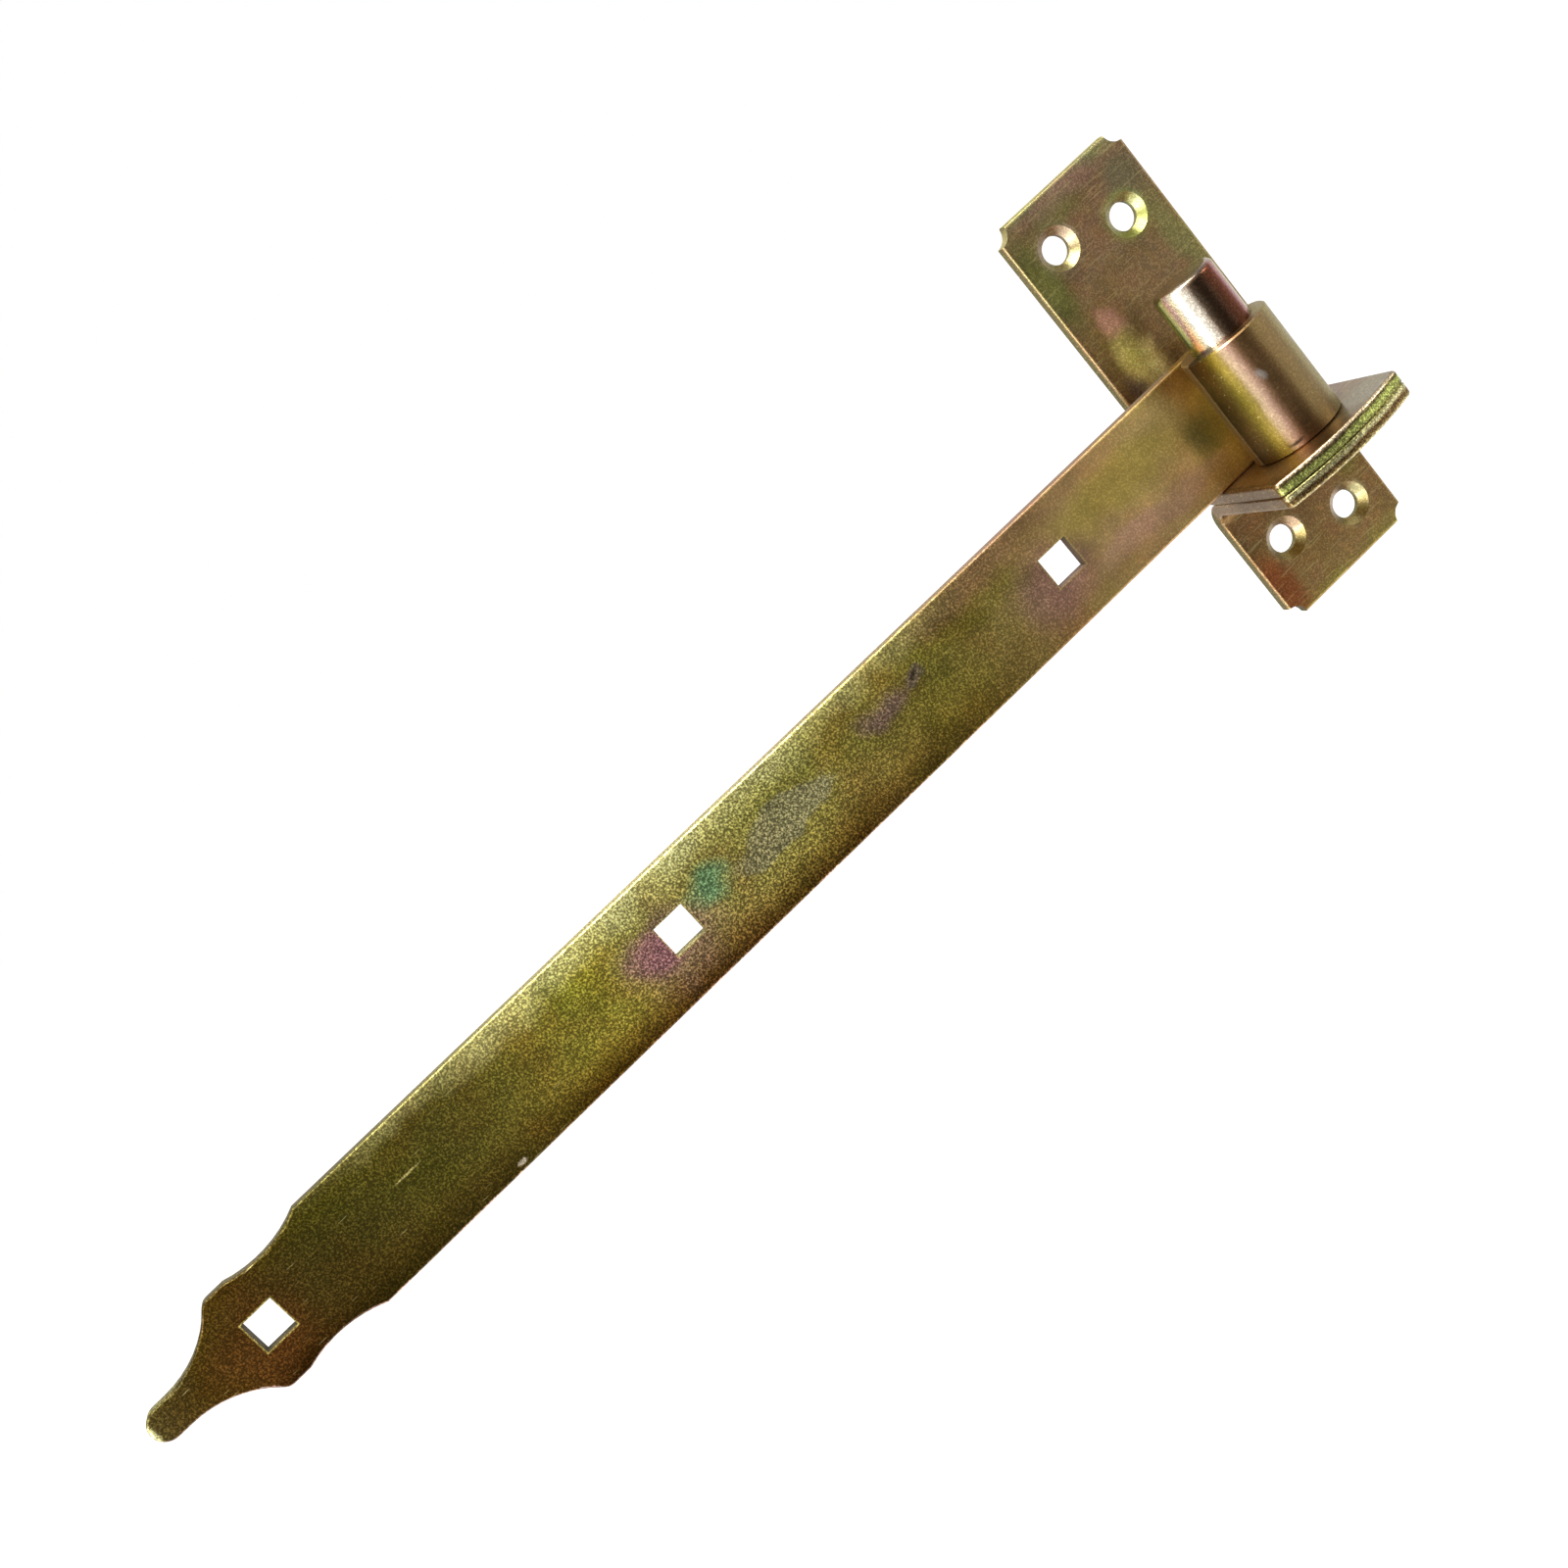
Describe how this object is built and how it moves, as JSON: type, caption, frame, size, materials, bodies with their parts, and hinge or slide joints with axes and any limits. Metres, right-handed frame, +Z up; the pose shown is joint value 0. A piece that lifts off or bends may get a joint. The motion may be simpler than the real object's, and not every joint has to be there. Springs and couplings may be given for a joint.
{
  "type": "lift-off shutter strap hinge",
  "caption": "Long flat strap with a shaped tip, square holes and a rolled eye that turns on an upright pin, riveted to a wall plate of two bent sheets.",
  "frame": {"origin": "middle of the wall plate's back face, in the plane of the wall, level with the pin's axis from side to side", "axes": "+X to the right as the viewer faces the wall, +Y into the wall, +Z up along the pin; the strap points to -X"},
  "size_m": [0.3584, 0.044, 0.12],
  "materials": {
    "strap_steel": "yellow passivated zinc on steel, fine satin grain, olive gold",
    "plate_steel": "yellow passivated zinc on steel, satin, brownish gold",
    "pin_steel": "yellow passivated zinc on turned steel, glossy"
  },
  "bodies": {
    "pintle": {"upper_bracket": "plate_steel", "lower_bracket": "plate_steel", "pin": "pin_steel"},
    "strap": {"strap": "strap_steel"}
  },
  "joints": [
    {"name": "strap_swing", "type": "hinge", "parent": "pintle", "child": "strap", "pos_m": [0, -0.024, 0], "axis": [0, 0, 1], "range_deg": [0, 180]}
  ]
}
